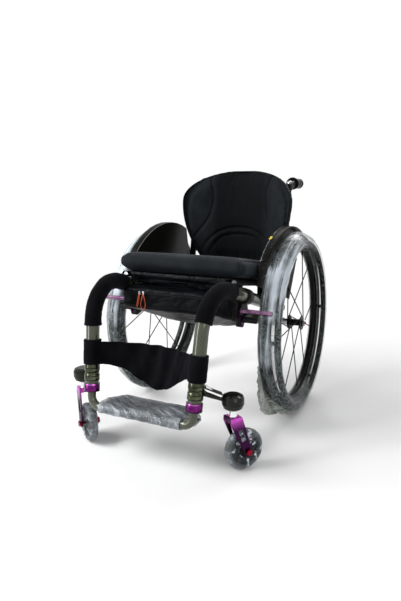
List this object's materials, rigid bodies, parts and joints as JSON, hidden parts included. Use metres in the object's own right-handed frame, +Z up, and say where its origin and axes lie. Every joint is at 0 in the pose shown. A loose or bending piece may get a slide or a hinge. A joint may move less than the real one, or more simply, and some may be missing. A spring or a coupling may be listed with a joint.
{
  "type": "active wheelchair",
  "caption": "Rigid-frame active wheelchair with carbon tubes, cambered spoked rear wheels with handrims, swivelling casters, a wrapped backrest, side guards, brakes and an underseat bag.",
  "frame": {"origin": "on the floor, under the middle of the chair's bounding box", "axes": "+Z up, the user faces -Y, the user's left is +X; the chair is longest along Y"},
  "size_m": [0.6092, 0.873, 0.7925],
  "materials": {
    "carbon": "clear-coated carbon twill",
    "purple": "purple anodised",
    "red": "red anodised",
    "steel": "polished",
    "arm": "mirror polished",
    "housing": "black gloss",
    "black": "black coated",
    "tyre": "matt",
    "caster": "satin",
    "knit": "knitted",
    "fabric": "woven",
    "nylon": "slightly shiny nylon",
    "plate": "satin carbon",
    "rubber": "satin"
  },
  "bodies": {
    "frame": {"axle_sleeve_left": "steel", "axle_sleeve_right": "steel", "axle_tube": "carbon", "brake_mount_left": "black", "brake_mount_right": "black", "calf_strap": "knit", "caster_arm_left": "arm", "caster_arm_right": "arm", "caster_housing_left": "housing", "caster_housing_right": "housing", "footplate": "plate", "footrest_clamp_left": "purple", "footrest_clamp_right": "purple", "footrest_tube": "carbon", "knee_sleeve_left": "knit", "knee_sleeve_right": "knit", "rear_bracket_left": "black", "rear_bracket_right": "black", "seat_cushion": "fabric", "seat_rail_left": "steel", "seat_rail_right": "steel", "seat_sling": "nylon", "side_frame_left": "carbon", "side_frame_right": "carbon", "side_guard_left": "carbon", "side_guard_right": "carbon", "underseat_bag": "nylon"},
    "backrest": {"back_shell": "carbon", "back_cushion": "fabric", "back_brace": "steel", "back_post_left": "carbon", "back_post_right": "carbon"},
    "rear_wheel_left": {"tyre_left": "tyre", "rim_left": "black", "hub_left": "black", "handrim_left": "black", "axle_pin_left": "steel"},
    "axle_button_left": {"axle_button_left": "black"},
    "caster_swivel_left": {"caster_fork_left": "purple", "caster_stem_left": "steel", "caster_bolt_left": "red"},
    "caster_wheel_left": {"caster_wheel_left": "caster"},
    "brake_lever_left": {"brake_lever_left": "black"},
    "brake_arm_left": {"brake_arm_left": "purple"},
    "push_handle_left": {"handle_stem_left": "steel", "handle_grip_left": "rubber"},
    "rear_wheel_right": {"tyre_right": "tyre", "rim_right": "black", "hub_right": "black", "handrim_right": "black", "axle_pin_right": "steel"},
    "axle_button_right": {"axle_button_right": "black"},
    "caster_swivel_right": {"caster_fork_right": "purple", "caster_stem_right": "steel", "caster_bolt_right": "red"},
    "caster_wheel_right": {"caster_wheel_right": "caster"},
    "brake_lever_right": {"brake_lever_right": "black"},
    "brake_arm_right": {"brake_arm_right": "purple"},
    "push_handle_right": {"handle_stem_right": "steel", "handle_grip_right": "rubber"}
  },
  "joints": [
    {"name": "backrest_fold", "type": "hinge", "parent": "frame", "child": "backrest", "pos_m": [0, 0.2457, 0.45], "axis": [1, 0, 0], "range_deg": [0, 53]},
    {"name": "rear_wheel_left_spin", "type": "hinge", "parent": "frame", "child": "rear_wheel_left", "pos_m": [0.256, 0.1307, 0.29796], "axis": [0.9998, 0, 0.0175], "continuous": true},
    {"name": "axle_button_left_press", "type": "slide", "parent": "rear_wheel_left", "child": "axle_button_left", "axis": [-0.9998, 0, -0.0175], "range_m": [0, 0.003], "stiffness_N_per_m": 500},
    {"name": "caster_left_swivel", "type": "hinge", "parent": "frame", "child": "caster_swivel_left", "pos_m": [0.2437, -0.3483, 0], "axis": [0, 0, 1], "continuous": true},
    {"name": "caster_left_spin", "type": "hinge", "parent": "caster_swivel_left", "child": "caster_wheel_left", "pos_m": [0.26344, -0.32062, 0.0565], "axis": [0.8141, -0.5807, 0], "continuous": true},
    {"name": "brake_lever_left_push", "type": "hinge", "parent": "frame", "child": "brake_lever_left", "pos_m": [0, -0.10129, 0.36602], "axis": [1, 0, 0], "range_deg": [0, 60]},
    {"name": "brake_arm_left_swing", "type": "hinge", "parent": "frame", "child": "brake_arm_left", "pos_m": [0, -0.15329, 0.35202], "axis": [1, 0, 0], "range_deg": [-15, 0]},
    {"name": "push_handle_left_fold", "type": "hinge", "parent": "backrest", "child": "push_handle_left", "pos_m": [0, 0.3218, 0.7495], "axis": [1, 0, 0], "range_deg": [-88, 0]},
    {"name": "rear_wheel_right_spin", "type": "hinge", "parent": "frame", "child": "rear_wheel_right", "pos_m": [-0.256, 0.1307, 0.29796], "axis": [-0.9998, 0, 0.0175], "continuous": true},
    {"name": "axle_button_right_press", "type": "slide", "parent": "rear_wheel_right", "child": "axle_button_right", "axis": [0.9998, 0, -0.0175], "range_m": [0, 0.003], "stiffness_N_per_m": 500},
    {"name": "caster_right_swivel", "type": "hinge", "parent": "frame", "child": "caster_swivel_right", "pos_m": [-0.2437, -0.3483, 0], "axis": [0, 0, 1], "continuous": true},
    {"name": "caster_right_spin", "type": "hinge", "parent": "caster_swivel_right", "child": "caster_wheel_right", "pos_m": [-0.21592, -0.3679, 0.0565], "axis": [-0.5764, -0.8171, 0], "continuous": true},
    {"name": "brake_lever_right_push", "type": "hinge", "parent": "frame", "child": "brake_lever_right", "pos_m": [0, -0.10129, 0.36602], "axis": [1, 0, 0], "range_deg": [0, 60]},
    {"name": "brake_arm_right_swing", "type": "hinge", "parent": "frame", "child": "brake_arm_right", "pos_m": [0, -0.15329, 0.35202], "axis": [1, 0, 0], "range_deg": [-15, 0]},
    {"name": "push_handle_right_fold", "type": "hinge", "parent": "backrest", "child": "push_handle_right", "pos_m": [0, 0.3218, 0.7495], "axis": [1, 0, 0], "range_deg": [-88, 0]}
  ],
  "couplings": [
    {"joint": "brake_arm_left_swing", "follows": "brake_lever_left_push", "ratio": -0.25},
    {"joint": "brake_arm_right_swing", "follows": "brake_lever_right_push", "ratio": -0.25}
  ]
}
